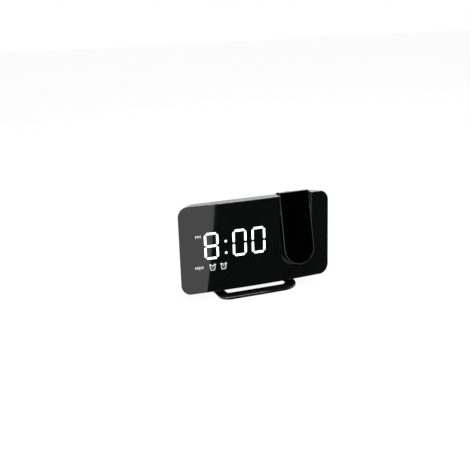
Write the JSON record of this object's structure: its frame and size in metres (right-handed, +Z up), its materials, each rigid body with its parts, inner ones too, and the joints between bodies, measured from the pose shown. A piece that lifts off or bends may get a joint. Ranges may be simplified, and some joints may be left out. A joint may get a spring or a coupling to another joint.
{
  "type": "projection alarm clock",
  "caption": "Bedside alarm clock with a glossy curved front, large lit digits, a swing-out projector arm in a through notch and a flat loop stand.",
  "frame": {"origin": "on the table, in the middle of the clock's whole outline at rest", "axes": "+X to the right as the clock is read, +Y to the back, +Z up; the face looks along -Y"},
  "size_m": [0.1854, 0.0589, 0.1165],
  "materials": {
    "gloss_black": "high-gloss moulded black",
    "white_diffuser": "clear-white light diffuser, smooth",
    "black_plastic": "fine-grained black ABS",
    "white_plastic": "white reflector plastic",
    "grey_plastic": "plain grey plastic",
    "green_board": "solder-masked glass-fibre board",
    "white_board": "white solder-masked board",
    "steel": "zinc-plated steel",
    "nickel": "nickel-plated sheet",
    "aluminium": "bare extruded aluminium",
    "rubber": "soft matt rubber",
    "acetal": "slippery acetal",
    "lens_clear": "clear moulded lens",
    "film": "liquid-crystal image slide",
    "paper_cone": "black paper cone",
    "led_clear": "clear red lamp"
  },
  "bodies": {
    "case": {"front_panel": "gloss_black", "digit_windows": "white_diffuser", "colon_windows": "white_diffuser", "front_housing": "black_plastic", "rear_housing": "black_plastic", "housing_screws": "steel", "display_light_box": "white_plastic", "display_board": "white_board", "display_leds": "white_diffuser", "snooze_switch": "grey_plastic", "main_board": "green_board", "board_screws": "steel", "button_switches": "grey_plastic", "speaker_basket": "steel", "speaker_cone": "paper_cone", "usb_output_port": "nickel", "usb_tongue": "white_plastic", "power_inlet": "black_plastic", "inlet_pin": "nickel", "cell_contacts": "nickel", "coin_cell": "steel", "base_loop": "black_plastic", "base_screws": "steel", "foot_pads": "rubber"},
    "arm": {"arm_front_shell": "gloss_black", "arm_rear_shell": "black_plastic", "arm_screws": "steel", "pivot_pins": "steel", "pivot_clips": "steel", "friction_washers": "acetal", "optics_housing": "black_plastic", "image_slide": "film", "condenser_lens": "lens_clear", "led_board": "white_board", "projector_led": "led_clear", "heat_sink": "aluminium"},
    "lens": {"lens_barrel": "black_plastic", "projection_lens": "lens_clear"},
    "focus_knob": {"focus_knob": "black_plastic"},
    "snooze_bar": {"snooze_bar": "black_plastic"},
    "set_button": {"set_button": "grey_plastic"},
    "plus_button": {"plus_button": "grey_plastic"},
    "minus_button": {"minus_button": "grey_plastic"},
    "alarm_button": {"alarm_button": "grey_plastic"},
    "projector_button": {"projector_button": "grey_plastic"},
    "radio_button": {"radio_button": "grey_plastic"},
    "battery_door": {"battery_door": "black_plastic"}
  },
  "joints": [
    {"name": "arm_swing", "type": "hinge", "parent": "case", "child": "arm", "pos_m": [0.0493, -0.0089, 0.0924], "axis": [-1, 0, 0], "range_deg": [-101.7, 78.3]},
    {"name": "focus_turn", "type": "hinge", "parent": "arm", "child": "focus_knob", "pos_m": [0.0518, -0.0063, 0.10493], "axis": [0, -0.9792, 0.2028], "range_deg": [-28.7, 28.7]},
    {"name": "lens_focus", "type": "slide", "parent": "arm", "child": "lens", "axis": [0, 0.2028, 0.9792], "range_m": [-0.0015, 0.0015]},
    {"name": "snooze_press", "type": "slide", "parent": "case", "child": "snooze_bar", "axis": [0, 0, -1], "range_m": [0, 0.0007], "stiffness_N_per_m": 800, "springref_m": -0.0006},
    {"name": "set_press", "type": "slide", "parent": "case", "child": "set_button", "axis": [0, -1, 0], "range_m": [0, 0.0007], "stiffness_N_per_m": 800, "springref_m": -0.0006},
    {"name": "plus_press", "type": "slide", "parent": "case", "child": "plus_button", "axis": [0, -1, 0], "range_m": [0, 0.0007], "stiffness_N_per_m": 800, "springref_m": -0.0006},
    {"name": "minus_press", "type": "slide", "parent": "case", "child": "minus_button", "axis": [0, -1, 0], "range_m": [0, 0.0007], "stiffness_N_per_m": 800, "springref_m": -0.0006},
    {"name": "alarm_press", "type": "slide", "parent": "case", "child": "alarm_button", "axis": [0, -1, 0], "range_m": [0, 0.0007], "stiffness_N_per_m": 800, "springref_m": -0.0006},
    {"name": "projector_press", "type": "slide", "parent": "case", "child": "projector_button", "axis": [0, -1, 0], "range_m": [0, 0.0007], "stiffness_N_per_m": 800, "springref_m": -0.0006},
    {"name": "radio_press", "type": "slide", "parent": "case", "child": "radio_button", "axis": [0, -1, 0], "range_m": [0, 0.0007], "stiffness_N_per_m": 800, "springref_m": -0.0006},
    {"name": "battery_door_off", "type": "slide", "parent": "case", "child": "battery_door", "axis": [0, 1, 0], "range_m": [0, 0.012]}
  ],
  "couplings": [
    {"joint": "focus_turn", "follows": "lens_focus", "rad_per_m": -333.33}
  ]
}
